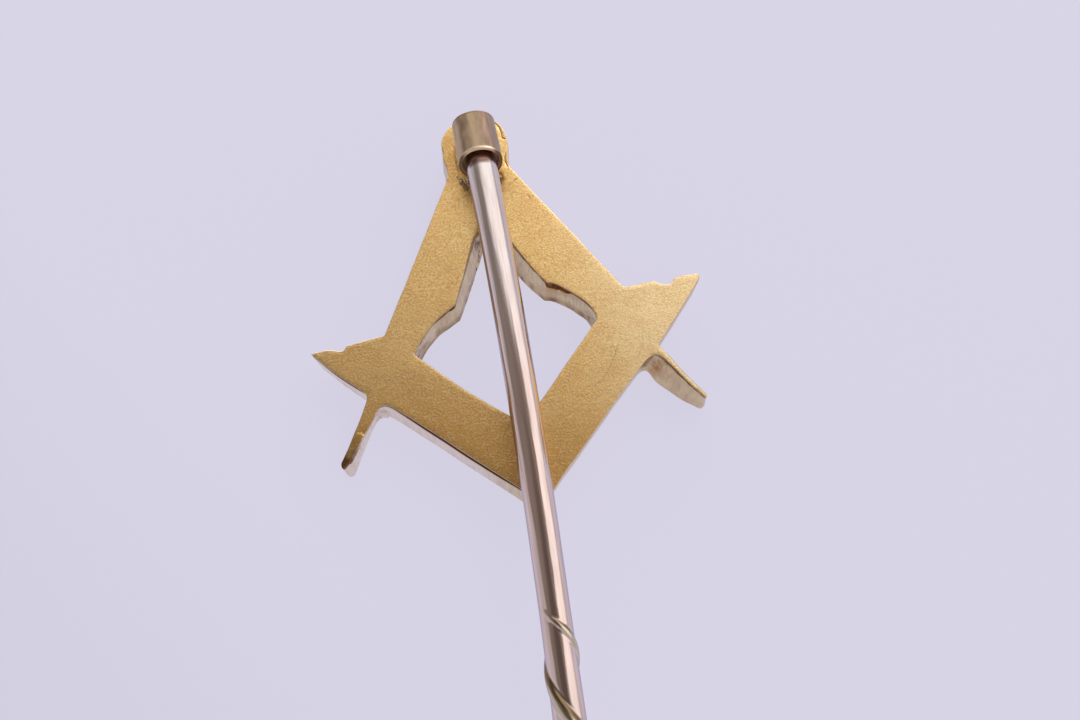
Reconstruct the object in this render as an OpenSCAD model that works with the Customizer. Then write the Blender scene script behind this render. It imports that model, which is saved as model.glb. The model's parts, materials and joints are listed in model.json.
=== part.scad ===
// Stick pin with a square-and-compasses emblem, in millimetres.
// The pin lies face down, as it rests by itself: the back of the emblem is up,
// the hinge of the compasses points to +Y and the stem runs to -Y.
// The emblem is drawn flat, seen from its back, with the square's outer corner
// at 0,0 and its back face at height 0. The last module lays it on the surface.

/* [Emblem] */
// Width across the tips of the square's arms
emblem_w = 13; // [11:0.5:16]
// Thickness of the square
square_t = 1.0; // [0.8:0.05:1.4]
// How far the compasses stand proud of the square on the front
compass_rise = 0.15; // [0.1:0.05:0.4]
// How far the hinge boss stands proud of the compasses on the front
boss_rise = 0.25; // [0.1:0.05:0.35]
// Radius of the hinge
hinge_r = 1.25; // [1.1:0.05:1.4]
// Thickness of the sheet that backs the front body
sheet_t = 0.35; // [0.2:0.05:0.5]
// Sideways step from the back sheet to the front body
front_step = 0.1; // [0:0.02:0.16]

/* [Collar] */
// Outer radius of the collar
collar_r = 0.8; // [0.76:0.01:0.9]
// Wall of the collar
collar_wall = 0.13; // [0.1:0.01:0.16]
// Length of the collar
collar_len = 1.9; // [1.6:0.05:2.4]
// Depth by which the collar's underside is filed flat to seat on the sheet
collar_flat = 0.03; // [0.01:0.01:0.06]

/* [Stem] */
// Length of the whole pin, from the hinge to the point
pin_len = 62; // [50:1:75]
// Radius of the stem at the collar's mouth
stem_top_r = 0.55; // [0.5:0.01:0.57]
// Radius of the stem below its twist
stem_r = 0.42; // [0.38:0.01:0.46]
// Radius of the gentle sideways bend of the upper stem
bend_r = 278; // [200:1:600]
// Length of the upper stem, from the collar's mouth to the twist
upper_len = 15.3; // [12:0.1:18]
// Length of the twist that keeps the pin from sliding out
twist_len = 10; // [6:0.5:14]
// Lead of each of the twist's two ridges
twist_lead = 3.3; // [3:0.1:5]
// Height of the ridges above the stem
ridge_h = 0.07; // [0.04:0.01:0.1]
// Length of the ground point
point_len = 9; // [6:0.5:12]

/* [Hidden] */
$fn = 96;

// Outlines are drawn for a 13 mm emblem and scaled to the width asked for
k = emblem_w / 13;
compass_t = square_t + compass_rise;
boss_t = compass_t + boss_rise;
hinge_y = 14.15;
hinge_x = 0.12;
leg_point_y = 2.3;
// The collar's axis, and its mouth and closed end along Y
collar_x = 0.19;
collar_z = collar_r - collar_flat;
mouth_y = 12.25 * k;
collar_top_y = mouth_y + collar_len;
collar_cap = 0.3;
// Where the upper stem ends, and how far it leans there
stem_end_x = collar_x - upper_len * upper_len / (2 * bend_r);
stem_end_y = mouth_y - upper_len;
lean = asin(upper_len / bend_r);
pin_end_y = (hinge_y + hinge_r) * k - pin_len;
lower_len = (stem_end_y - pin_end_y) / cos(lean);
shoulder_y = pin_end_y + point_len * cos(lean);
// The pin touches the surface with both leg points and where its own point starts
pitch = atan((compass_t + collar_z - stem_r) / (leg_point_y * k - shoulder_y));
rest_lift = compass_t * cos(pitch) - leg_point_y * k * sin(pitch);
box_mid_x = (6.65 - 6.38 - front_step) / 2 * k;
box_top_y = (hinge_y + hinge_r) * k * cos(pitch) + boss_t * sin(pitch);
box_end_y = pin_end_y * cos(pitch) - collar_z * sin(pitch);
box_mid_y = (box_top_y + box_end_y) / 2;

// Points of a bowed line from a to b, its middle h to the left of the straight line
function bow(a, b, h, n = 6) = [
    for (i = [0:n]) let (t = i / n, d = b - a, side = [-d.y, d.x] / norm(d))
        a + t * d + 4 * t * (1 - t) * h * side
];

// The square's arms: outer corner, kink at the leg, moulded end, inner edge
arm_left = concat(
    [[0.05, 0], [-4.35, 4.28], [-6.38, 6.27], [-6.11, 6.31], [-5.82, 6.30]],
    [[-5.52, 6.19], [-5.35, 6.17], [-5.27, 6.31], [-4.0, 6.45]],
    bow([-3.09, 5.62], [-0.05, 2.53], -0.12)
);
arm_right = concat(
    [[0.05, 0], [4.30, 4.06], [6.65, 6.58], [5.83, 6.78], [5.73, 6.60]],
    [[5.42, 6.53], [5.19, 6.74], [4.12, 6.70]],
    bow([2.95, 5.73], [-0.05, 2.53], 0.08)
);

// The compasses' legs down to where they cross the square, with coved shoulders
leg_left = concat(
    [[0, 13.5], [-1.05, 13.7], [-1.0, 12.8], [-1.15, 12.5], [-4.0, 6.45]],
    [[-4.74, 4.55], [-4.76, 4.1], [-4.6, 3.7], [-4.5, 3.86], [-4.36, 3.99], [-4.04, 3.96]],
    bow([-3.09, 5.62], [-1.53, 7.19], 0.2),
    [[-0.5, 9.67], [0.05, 10.95]]
);
leg_right = concat(
    [[0, 13.5], [1.25, 13.7], [1.1, 12.85], [1.15, 12.62], [4.12, 6.70]],
    [[4.63, 4.28], [4.72, 4.06], [4.75, 3.8], [4.55, 3.98], [4.34, 3.99], [3.91, 3.69]],
    bow([2.95, 5.73], [1.59, 7.39], -0.34),
    [[0.74, 9.2], [0.05, 10.95]]
);

// Free points of the legs on the back face and on the front
point_left_back = [
    [-4.74, 4.5], [-5.0, 3.7], [-5.47, 2.75], [-5.66, 2.3], [-5.45, 2.32],
    [-5.07, 2.78], [-4.6, 3.61], [-4.4, 4.1]
];
point_left_front = [
    [-4.95, 4.6], [-5.25, 3.8], [-5.8, 2.85], [-5.88, 2.55], [-5.69, leg_point_y],
    [-5.32, 2.79], [-4.87, 3.66], [-4.5, 4.2]
];
point_right_back = [
    [4.68, 4.4], [4.97, 3.72], [5.46, 2.8], [5.67, 2.36], [5.6, 2.3],
    [5.09, 3.17], [4.85, 3.62], [4.5, 4.1]
];
point_right_front = [
    [4.66, 4.4], [4.9, 3.9], [5.5, 3.0], [5.85, 2.5], [5.69, leg_point_y],
    [5.13, 2.81], [4.68, 3.43], [4.3, 4.0]
];

module square_outline() {
    polygon(arm_left);
    polygon(arm_right);
}

module compass_outline() {
    translate([hinge_x, hinge_y]) circle(hinge_r);
    polygon(leg_left);
    polygon(leg_right);
}

// A slab of the given outline between two depths below the back face
module slab(from, to) {
    translate([0, 0, -to]) linear_extrude(to - from) children();
}

// One leg's free point: its walls slant from the back outline to the front one
module leg_point(back_points, front_points) {
    skin = 0.05;
    hull() {
        slab(0, skin) polygon(back_points);
        slab(compass_t - skin, compass_t) polygon(front_points);
    }
}

// Square, compasses and hinge boss, soldered to one back sheet
module emblem() {
    color("goldenrod") place() scale(k) union() {
        slab(0, sheet_t) {
            square_outline();
            compass_outline();
        }
        translate([-front_step, 0, 0]) {
            slab(sheet_t, square_t) square_outline();
            slab(sheet_t, compass_t) compass_outline();
            slab(sheet_t, boss_t) translate([hinge_x, hinge_y]) circle(hinge_r);
        }
        leg_point(point_left_back, point_left_front);
        leg_point(point_right_back, point_right_front);
    }
}

// Short tube, closed at its upper end and filed flat where it meets the sheet
module collar() {
    bore_len = collar_len - collar_cap;
    color("darkgoldenrod") place() intersection() {
        translate([collar_x, mouth_y, collar_z]) rotate([-90, 0, 0]) difference() {
            cylinder(h = collar_len, r = collar_r);
            translate([0, 0, -1]) cylinder(h = bore_len + 1, r = collar_r - collar_wall);
        }
        translate([collar_x - collar_r, 0, 0]) cube([2 * collar_r, 2 * mouth_y, 2 * collar_r]);
    }
}

// Rings of the upper stem, from its seat in the collar to the twist: each ring
// is shifted by the bend, and the radius falls evenly towards the twist
function stem_ring(s, sides) = let (
        t = max(s, 0) / upper_len,
        r = stem_top_r + (stem_r - stem_top_r) * t,
        x = collar_x - max(s, 0) * max(s, 0) / (2 * bend_r),
        turn = asin(max(s, 0) / bend_r)
    ) [
        for (i = [0:sides - 1]) let (a = 360 * i / sides, across = r * cos(a)) [
            x + across * cos(turn), mouth_y - s + across * sin(turn), collar_z + r * sin(a)
        ]
    ];

module upper_stem() {
    sides = 24;
    rings = 12;
    start = -(collar_len - collar_cap);
    points = [
        for (j = [0:rings]) each stem_ring(start + (upper_len - start) * j / rings, sides)
    ];
    walls = [
        for (j = [0:rings - 1], i = [0:sides - 1]) let (n = (i + 1) % sides)
            [j * sides + i, (j + 1) * sides + i, (j + 1) * sides + n, j * sides + n]
    ];
    first = [for (i = [0:sides - 1]) i];
    last = [for (i = [sides - 1:-1:0]) rings * sides + i];
    polyhedron(points, concat(walls, [first, last]), convexity = 4);
}

// Two rounded ridges wound round the stem, left-handed
module twist() {
    lobe_r = 0.13;
    slices = round(twist_len / twist_lead * 14);
    linear_extrude(twist_len, twist = 360 * twist_len / twist_lead, slices = slices, $fn = 24) {
        circle(stem_r, $fn = 24);
        for (side = [-1, 1]) {
            translate([0, side * (stem_r + ridge_h - lobe_r)]) circle(lobe_r, $fn = 10);
        }
    }
}

// Round shank and ground point below the twist
module lower_stem() {
    bury = 0.2;
    tip_r = 0.03;
    shank_len = lower_len - twist_len - point_len;
    translate([0, 0, twist_len - bury]) cylinder(h = shank_len + bury, r = stem_r);
    translate([0, 0, lower_len - point_len]) cylinder(h = point_len, r1 = stem_r, r2 = tip_r);
}

module stem() {
    color("rosybrown") place() {
        upper_stem();
        translate([stem_end_x, stem_end_y, collar_z]) rotate([90, 0, -lean]) {
            translate([0, 0, -0.02]) twist();
            lower_stem();
        }
    }
}

// Lays the pin on the surface, with the origin under the middle of its box
module place() {
    translate([-box_mid_x, -box_mid_y, rest_lift]) rotate([pitch, 0, 0]) children();
}

emblem();
collar();
stem();
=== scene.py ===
import json
import math

import bpy
import numpy as np
from mathutils import Matrix, Vector
from mathutils.geometry import delaunay_2d_cdt


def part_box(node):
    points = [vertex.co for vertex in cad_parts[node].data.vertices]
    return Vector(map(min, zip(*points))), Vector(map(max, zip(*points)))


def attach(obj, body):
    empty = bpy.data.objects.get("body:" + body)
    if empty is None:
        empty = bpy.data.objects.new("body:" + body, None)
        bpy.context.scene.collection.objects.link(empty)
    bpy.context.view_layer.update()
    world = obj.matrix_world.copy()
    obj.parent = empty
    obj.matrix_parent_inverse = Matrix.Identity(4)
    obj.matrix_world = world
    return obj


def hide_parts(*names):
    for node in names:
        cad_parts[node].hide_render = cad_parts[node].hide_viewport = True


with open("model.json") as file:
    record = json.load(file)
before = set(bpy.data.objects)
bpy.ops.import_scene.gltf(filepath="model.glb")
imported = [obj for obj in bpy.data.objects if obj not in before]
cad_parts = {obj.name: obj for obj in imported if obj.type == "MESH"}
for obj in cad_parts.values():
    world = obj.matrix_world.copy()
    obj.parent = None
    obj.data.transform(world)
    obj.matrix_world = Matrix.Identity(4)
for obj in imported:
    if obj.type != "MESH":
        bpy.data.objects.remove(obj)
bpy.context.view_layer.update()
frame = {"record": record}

# Emblem: the square and compasses with their hinge boss, lying on their front.
# Gold, cast and filed by hand, soldered to a thin backing sheet whose matt back is
# up. The solder seam shows as a dark line just below the edge of that back.

# Lengths are in millimetres on the emblem's back plane: x to the right, y to the
# hinge, z up from the back face. The square's outer corner is at 0,0.
MM = 0.001
SQUARE_T = 1.0
COMPASS_T = 1.15
BOSS_T = 1.4
HINGE_X = 0.12
HINGE_Y = 14.15
HINGE_R = 1.25
FRONT_EDGE = 0.05
ARM_TIP_X = 6.65
LEG_POINT_Y = 2.3
# The front body sits this far to the left of the back sheet
FRONT_STEP = 0.1
# Spacing of the mesh along the outlines and over the faces
OUTLINE_STEP = 0.05
FACE_STEP = 0.1
FULL_TURN = 2 * math.pi

# The pin lies tilted on both leg points and its own point. The shank's axis gives
# the tilt, and the highest corner of the emblem's box gives the place.
shank_axis = frame["record"]["mounts"][0]["axis"]
TILT = math.atan(shank_axis[2] / shank_axis[1])
emblem_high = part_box("emblem")[1]


def lay(points):
    """Turns points about x by the pin's tilt and moves them to where the pin rests, in metres."""
    points = np.asarray(points, float)
    across, along, up = points[..., 0], points[..., 1], points[..., 2]
    turned = np.stack([
        across,
        along * math.cos(TILT) - up * math.sin(TILT),
        along * math.sin(TILT) + up * math.cos(TILT),
    ], -1)
    far_end = (HINGE_Y + HINGE_R) * math.cos(TILT) + BOSS_T * math.sin(TILT)
    lift = COMPASS_T * math.cos(TILT) - LEG_POINT_Y * math.sin(TILT)
    place = [emblem_high.x / MM - ARM_TIP_X, emblem_high.y / MM - far_end, lift]
    return (turned + place) * MM


# The hinge's rim bulges to the upper right: direction, spread, height, and how
# much sharper its filed edge is there than elsewhere
BULGE_AT = math.radians(45)
BULGE_SPREAD = math.radians(25)
BULGE = 0.05
BULGE_EDGE = 0.02
HINGE_EDGE = 0.035
HINGE_ROUND = 0.05


def hinge_rows(turn_from, turn_to, count):
    """Rows of the hinge's rim: points on its circle, moved out where it bulges."""
    turn = np.radians(np.linspace(turn_from, turn_to, count))
    bulge = np.exp(-((turn - BULGE_AT) / BULGE_SPREAD) ** 2)
    heading = np.stack([np.cos(turn), np.sin(turn)], 1)
    place = [HINGE_X, HINGE_Y] + (HINGE_R + BULGE * bulge)[:, None] * heading
    rest = np.tile([-FRONT_STEP, 0, HINGE_ROUND], (count, 1))
    return np.column_stack([place, rest, HINGE_EDGE - BULGE_EDGE * bulge])


def outline(*runs):
    """A closed outline from runs of rows, each run with its thickness, which becomes the last column."""
    return np.vstack([np.column_stack([rows, np.full(len(rows), thick)]) for thick, rows in runs])


# Columns: x and y of the back edge, the shift to the front edge in x and in y,
# the length over which the corner is rounded, the radius of the filed back edge.
RIM = outline(
    (SQUARE_T, [
        # Right arm of the square, lower edge
        (0.05, 0.00, -0.17, 0.00, 0.06, 0.012), (0.40, 0.34, -0.17, 0.00, 0.30, 0.020),
        (3.47, 3.31, -0.17, 0.00, 0.40, 0.020),
    ]),
    (COMPASS_T, [
        # Right leg of the compasses: cove, inner side, tip and outer side
        (3.92, 3.71, -0.17, 0.02, 0.20, 0.015), (4.19, 3.93, -0.18, 0.02, 0.20, 0.015),
        (4.47, 4.05, -0.22, 0.02, 0.20, 0.015), (4.66, 3.92, -0.28, -0.02, 0.20, 0.015),
        (4.85, 3.61, -0.38, -0.04, 0.20, 0.015), (5.09, 3.17, -0.25, -0.02, 0.20, 0.015),
        (5.33, 2.70, -0.12, 0.00, 0.20, 0.015), (5.61, 2.25, 0.08, 0.08, 0.06, 0.020),
        (5.70, 2.37, 0.21, 0.12, 0.06, 0.040), (5.49, 2.74, 0.10, 0.20, 0.20, 0.080),
        (5.17, 3.32, 0.00, 0.20, 0.20, 0.080), (4.90, 3.98, -0.05, 0.10, 0.15, 0.080),
        # Right arm, moulded end
        (4.66, 4.34, -0.10, 0.00, 0.10, 0.040),
    ]),
    (SQUARE_T, [
        (4.78, 4.47, -0.11, 0.00, 0.01, 0.025), (6.66, 6.49, -0.12, -0.02, 0.05, 0.050),
        (6.72, 6.71, -0.10, -0.05, 0.04, 0.070), (6.16, 6.79, -0.05, -0.05, 0.20, 0.070),
        (5.83, 6.73, -0.05, -0.05, 0.05, 0.060), (5.71, 6.51, -0.05, -0.05, 0.10, 0.040),
        (5.36, 6.58, -0.05, -0.05, 0.12, 0.040), (5.16, 6.77, -0.05, -0.05, 0.08, 0.050),
    ]),
    (COMPASS_T, [
        (4.12, 6.72, -0.08, -0.05, 0.06, 0.070),
        # Right leg's outer edge up to the neck and the hinge
        (1.27, 12.68, -0.08, 0.00, 0.10, 0.070), (1.24, 12.98, -0.08, 0.00, 0.20, 0.050),
        (1.34, 13.48, -0.08, 0.00, 0.20, 0.050),
    ]),
    (BOSS_T, [
        (1.39, 13.86, -0.09, 0.00, 0.20, 0.040),
        *hinge_rows(8, 194, 18),
    ]),
    (COMPASS_T, [
        # Neck and left leg's outer edge
        (-1.15, 13.60, -0.08, 0.00, 0.05, 0.030), (-1.05, 13.10, -0.13, 0.00, 0.20, 0.020),
        (-1.06, 12.75, -0.13, 0.00, 0.15, 0.020), (-1.15, 12.50, -0.08, 0.00, 0.08, 0.030),
        (-4.00, 6.50, -0.08, -0.03, 0.06, 0.035),
    ]),
    (SQUARE_T, [
        # Left arm, moulded end and lower edge
        (-4.14, 6.49, -0.08, -0.03, 0.01, 0.035), (-5.25, 6.38, 0.00, -0.04, 0.05, 0.040),
        (-5.36, 6.22, 0.00, -0.04, 0.05, 0.040), (-5.52, 6.22, 0.00, -0.04, 0.15, 0.040),
        (-5.86, 6.37, 0.00, -0.04, 0.20, 0.040), (-6.43, 6.29, 0.04, 0.00, 0.05, 0.020),
        (-5.64, 5.38, 0.02, 0.02, 0.30, 0.012),
    ]),
    (COMPASS_T, [
        (-4.77, 4.55, -0.02, 0.02, 0.10, 0.012),
        # Left leg: outer side, tip, inner side and cove
        (-4.73, 4.36, -0.08, 0.02, 0.12, 0.030), (-5.01, 3.70, -0.20, 0.05, 0.25, 0.030),
        (-5.51, 2.75, -0.26, 0.10, 0.25, 0.030), (-5.74, 2.44, -0.15, 0.11, 0.06, 0.020),
        (-5.72, 2.29, 0.00, 0.01, 0.04, 0.015), (-5.63, 2.33, 0.05, 0.00, 0.05, 0.012),
        (-5.42, 2.50, -0.12, -0.15, 0.12, 0.012), (-5.02, 2.98, -0.32, -0.20, 0.20, 0.012),
        (-4.57, 3.62, -0.35, 0.04, 0.20, 0.012), (-4.44, 3.95, -0.27, 0.08, 0.20, 0.012),
        (-4.25, 4.05, -0.21, 0.07, 0.20, 0.012),
    ]),
    (SQUARE_T, [
        (-3.98, 3.92, -0.19, 0.04, 0.20, 0.012),
    ]),
)
OPENING = outline(
    (COMPASS_T, [
        # Right leg: inner edge, coved shoulder
        (0.05, 10.85, -0.06, -0.03, 0.05, 0.012), (0.78, 9.18, -0.22, -0.16, 0.30, 0.012),
        (1.16, 8.28, -0.18, -0.12, 0.30, 0.012), (1.59, 7.40, -0.10, -0.03, 0.05, 0.012),
        (1.86, 7.33, -0.06, -0.03, 0.20, 0.012), (2.27, 6.95, -0.06, 0.01, 0.25, 0.012),
        (2.78, 6.36, -0.06, 0.01, 0.25, 0.012), (2.94, 5.96, -0.08, 0.00, 0.15, 0.015),
    ]),
    (SQUARE_T, [
        (2.95, 5.70, -0.12, 0.00, 0.06, 0.020),
        # Inner edges of the square
        (2.00, 4.68, -0.17, 0.00, 0.50, 0.025), (-0.05, 2.53, -0.17, 0.00, 0.06, 0.045),
        (-1.72, 4.09, -0.17, 0.00, 0.50, 0.045),
    ]),
    (COMPASS_T, [
        (-3.11, 5.60, -0.12, 0.00, 0.06, 0.045),
        # Left leg: coved shoulder, inner edge
        (-2.86, 6.02, -0.10, 0.00, 0.25, 0.020), (-2.35, 6.66, -0.10, 0.00, 0.30, 0.020),
        (-1.56, 7.19, 0.02, 0.00, 0.05, 0.025), (-1.02, 8.50, 0.12, 0.00, 0.30, 0.045),
        (-0.59, 9.62, 0.19, 0.00, 0.30, 0.045),
    ]),
)
# The seam: how far it lies below the sheet's rounded edge, how high and how deep
# it is, and the rounding of the body's own edge below it
SEAM_DEPTHS = np.array([[0.020], [0.022], [0.022]])
SEAM_HEIGHT = 0.045
SEAM_INSET = 0.03
BODY_LIP = 0.035
# Places where the seam has opened: x, y, reach along the edge, how high it is open
SEAM_GAPS = [
    (1.80, 7.30, 0.30, 0.30),
    (2.10, 7.10, 0.30, 0.22),
    (-1.66, 7.12, 0.16, 0.13),
    (-2.10, 6.88, 0.35, 0.08),
    (-4.20, 4.00, 0.35, 0.08),
    (-5.62, 5.41, 1.20, 0.24),
    (-2.20, 2.15, 2.60, 0.24),
    (2.75, 6.35, 0.50, 0.07),
]
# Where the seam is closed and polished: x, y, reach along the edge
SEAM_CLOSED = (-1.02, 8.50, 1.25)
# Stains and nicks in the walls, and painted shade in the coves and along the foot of the
# walls beside the stem: x, y, z, size, darkness
WALL_NICKS_AND_SHADE = [
    (-0.47, 9.72, -0.85, 0.12, 1.0), (-0.49, 9.58, -0.90, 0.11, 1.0), (-0.52, 9.48, -0.95, 0.09, 1.0),
    (-0.62, 9.12, -1.05, 0.11, 1.0), (-0.66, 8.98, -1.08, 0.11, 1.0), (-0.72, 8.85, -1.08, 0.10, 1.0),
    (-0.80, 8.66, -1.10, 0.09, 0.7), (-0.88, 8.46, -1.10, 0.11, 0.8), (-0.98, 8.25, -1.10, 0.09, 0.7),
    (-0.50, 9.72, -0.35, 0.22, 0.75), (-0.42, 9.90, -0.60, 0.22, 0.8),
    (0.62, 9.00, -0.90, 0.07, 1.0), (0.66, 8.86, -0.93, 0.07, 1.0), (0.72, 8.70, -0.96, 0.07, 1.0),
    (0.78, 8.54, -0.98, 0.07, 1.0), (0.86, 8.38, -1.00, 0.06, 0.9), (0.68, 9.20, -0.35, 0.14, 0.5),
    (-4.60, 3.98, -0.90, 0.20, 0.35), (-4.40, 4.06, -0.55, 0.25, 0.40), (-4.15, 4.02, -0.95, 0.20, 0.30),
    (-4.78, 4.60, -0.80, 0.16, 0.50), (4.02, 3.88, -1.10, 0.08, 0.9), (4.20, 3.88, -1.12, 0.08, 0.9),
    (4.15, 3.93, -0.55, 0.32, 0.50), (4.42, 3.98, -0.45, 0.35, 0.38), (2.90, 5.95, -0.60, 0.40, 0.45),
    (2.80, 6.25, -0.90, 0.35, 0.45), (2.35, 6.85, -0.90, 0.30, 0.35), (-1.14, 12.62, -0.15, 0.09, 0.8),
    (4.95, 3.20, -0.55, 0.03, 0.9), (-3.00, 5.85, -0.60, 0.35, 0.50), (-2.75, 6.20, -0.80, 0.35, 0.45),
    (-2.20, 6.75, -0.85, 0.35, 0.35), (-1.75, 7.05, -0.95, 0.25, 0.30),
]
# Dirt down the seam, ring by ring, and where it starts
SEAM_DIRT = np.array([0.3, 0.9, 1.0, 1.0, 0.9, 0.7, 0.35, 0.1])[:, None]
SEAM_DIRT_RING = 4
# Painted shade along the foot of the outer walls and of the opening's walls
RIM_FOOT_SHADE = 0.12
OPENING_FOOT_SHADE = 0.42
# Brown patches on the walls: x, y, z, size
WALL_RUST = [
    (4.52, 3.86, -0.65, 0.17), (4.46, 3.87, -0.95, 0.14), (4.56, 3.86, -0.40, 0.13),
    (1.80, 7.25, -0.20, 0.30), (2.10, 7.05, -0.20, 0.25),
]
# Marks on the back face, some of them painted shade: width, depth, darkness, then the points along the mark
FACE_MARKS_AND_SHADE = [
    # Seam between the sheet's rim and the hinge boss
    (0.010, 0.020, 0.9, [(1.00, 15.01), (1.09, 14.86), (1.15, 14.72), (1.19, 14.62)]),
    (0.010, 0.020, 0.9, [(1.19, 14.62), (1.205, 14.33), (1.19, 14.13), (1.27, 14.07)]),
    (0.010, 0.018, 0.8, [(1.23, 13.40), (1.14, 13.20), (1.11, 12.98), (1.16, 12.73)]),
    # Gap beside the collar's foot, painted dark as the collar's contact shadow, and the hollows
    # below its mouth, dented and painted dark as the shade under the mouth
    (0.040, 0.012, 0.35, [(-0.66, 14.10), (-0.67, 13.60), (-0.65, 13.20), (-0.62, 12.95)]),
    (0.060, 0.050, 0.9, [(-0.60, 12.27), (-0.50, 12.12), (-0.44, 11.98)]),
    (0.050, 0.070, 1.0, [(0.78, 12.40), (0.82, 12.27), (0.81, 12.13), (0.74, 12.05)]),
    # Pits and one small stain
    (0.020, 0.008, 0.6, [(1.31, 12.00), (1.33, 12.01)]),
    (0.016, 0.006, 0.4, [(1.05, 11.11), (1.07, 11.13)]),
    (0.028, 0.002, 0.30, [(-3.50, 5.30), (-3.46, 5.28)]),
    (0.014, 0.005, 0.3, [(1.64, 11.22), (1.68, 11.17)]),
    # Flat painted brown shade along the left arm's lower edge and left of the collar
    (0.16, 0.0, 0.15, [(-3.70, 3.72), (-2.20, 2.26), (-0.40, 0.52)]),
    (0.40, 0.0, 0.15, [(-0.85, 14.40), (-0.90, 13.40), (-0.80, 12.60)]),
    # Light scratches on the right arm
    (0.016, 0.0012, 0.30, [(3.39, 4.64), (3.24, 4.34), (2.91, 3.84), (2.61, 3.49), (2.30, 3.34)]),
    (0.014, 0.0010, 0.26, [(4.24, 4.85), (4.17, 4.45), (3.93, 4.10)]),
    (0.014, 0.0010, 0.22, [(2.48, 4.17), (2.38, 3.95), (2.13, 3.70)]),
    # Nick at the neck
    (0.030, 0.020, 0.85, [(-1.12, 12.56), (-1.15, 12.45)]),
]
# Lines of mesh points beside each mark, in widths of the mark, their points' spacing
# and the least distance from the edges
MARK_LINES = (-1.6, -0.8, 0, 0.8, 1.6)
MARK_STEP = 0.03
MARK_ROOM = 0.02
# The left leg's back bends down towards its tip: where the leg lies, where the
# bend starts, its length and its depth
LEFT_LEG_X = -4.4
LEG_BEND_Y = 3.45
LEG_BEND_LEN = 1.20
LEG_BEND = 0.28
# Small dents that catch the light on that leg: x, y, height; the leg's direction
# as the share of x and of y; how far a dent reaches along the leg and across it
LEG_GLINTS = [(-5.00, 3.12, 0.060), (-5.42, 2.66, 0.060)]
LEG_HEADING = (0.46, 0.89)
GLINT_ALONG = 0.045
GLINT_ACROSS = 0.12


def soften(rows, bends=4, most=0.48):
    """Rounds the corners of a closed outline: a parabola between cuts on the two edges, drawn towards the
    corner. A cut takes at most the given share of its edge."""
    before = np.roll(rows, 1, 0)
    after = np.roll(rows, -1, 0)

    def cut(other):
        """Where the rounding starts, on the edge towards the other corner."""
        reach = np.linalg.norm(other[:, :2] - rows[:, :2], axis=1)
        share = np.minimum(rows[:, 4] / reach, most)[:, None]
        return rows + (other - rows) * share

    t = np.linspace(0, 1, bends + 1)[:, None, None]
    curve = (1 - t) ** 2 * cut(before) + 2 * t * (1 - t) * rows + t ** 2 * cut(after)
    curve = curve.transpose(1, 0, 2)
    curve[:, :, 6] = rows[:, 6:7]
    return curve.reshape(-1, rows.shape[1])


def even(rows, step):
    """Spaces a closed outline's points evenly by arc length. The thickness keeps its steps."""
    closed = np.vstack([rows, rows[:1]])
    run = np.concatenate([[0], np.cumsum(np.linalg.norm(np.diff(closed[:, :2], axis=0), axis=1))])
    count = int(round(run[-1] / step))
    at = np.arange(count) * run[-1] / count
    spaced = np.stack([np.interp(at, run, column) for column in closed.T], 1)
    spaced[:, 6] = closed[np.searchsorted(run, at, side="right") - 1, 6]
    return spaced


def ripple(where, wavelength, seed, count=24):
    """Sum of sine waves of random direction and phase, all about one wavelength long, from about -1 to 1."""
    draw = np.random.default_rng(seed)
    heading = draw.normal(size=(where.shape[-1], count))
    heading /= np.linalg.norm(heading, axis=0)
    rate = FULL_TURN / (wavelength * draw.uniform(0.6, 1.7, count))
    waves = np.sin(where @ (heading * rate) + draw.uniform(0, FULL_TURN, count))
    return waves.sum(-1) / math.sqrt(2 * count)


def swell(value, low, high):
    """Eases from 0 at low to 1 at high."""
    t = np.clip((value - low) / (high - low), 0, 1)
    return t * t * (3 - 2 * t)


def blocks(points):
    """The points in blocks of about 1500, to save memory."""
    return np.array_split(points, max(1, len(points) // 1500))


def inside(points, loop):
    """Inside a closed outline, a line to the right crosses the outline an odd number of times."""
    start, end = loop, np.roll(loop, -1, 0)
    rise = end[:, 1] - start[:, 1]
    rise = np.where(rise == 0, 1e-12, rise)
    found = []
    for part in blocks(points):
        x, y = part[:, :1], part[:, 1:]
        spans = (start[:, 1] > y) != (end[:, 1] > y)
        crossing = start[:, 0] + (y - start[:, 1]) / rise * (end[:, 0] - start[:, 0])
        found.append(((x < crossing) & spans).sum(1) % 2 == 1)
    return np.concatenate(found)


def on_metal(points, loops):
    """Between the emblem's rim and its opening."""
    return inside(points, loops[0]) & ~inside(points, loops[1])


def from_spot(points, x, y):
    """Distance from a spot, by the first two coordinates."""
    return np.hypot(points[..., 0] - x, points[..., 1] - y)


def nearest(points, others):
    """Distance from each point to the nearest of the others."""
    found = []
    for part in blocks(points):
        found.append(np.sqrt(((part[:, None] - others[None]) ** 2).sum(-1).min(1)))
    return np.concatenate(found)


def droop(points):
    """Bends the left leg's back down towards its tip and adds the small dents. The front stays in place."""
    x, y, z = points[..., 0], points[..., 1], points[..., 2]
    on_back = z > -0.1
    share = np.clip((LEG_BEND_Y - y) / LEG_BEND_LEN, 0, 1) ** 2 * (x < LEFT_LEG_X) * (1 + z / COMPASS_T)
    z = z - LEG_BEND * share
    for dent_x, dent_y, height in LEG_GLINTS:
        along = (x - dent_x) * LEG_HEADING[0] + (y - dent_y) * LEG_HEADING[1]
        across = (x - dent_x) * LEG_HEADING[1] - (y - dent_y) * LEG_HEADING[0]
        z = z + height * np.exp(-(along / GLINT_ALONG) ** 2 - (across / GLINT_ACROSS) ** 2) * on_back
    return np.stack([x, y, z], -1)


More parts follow.
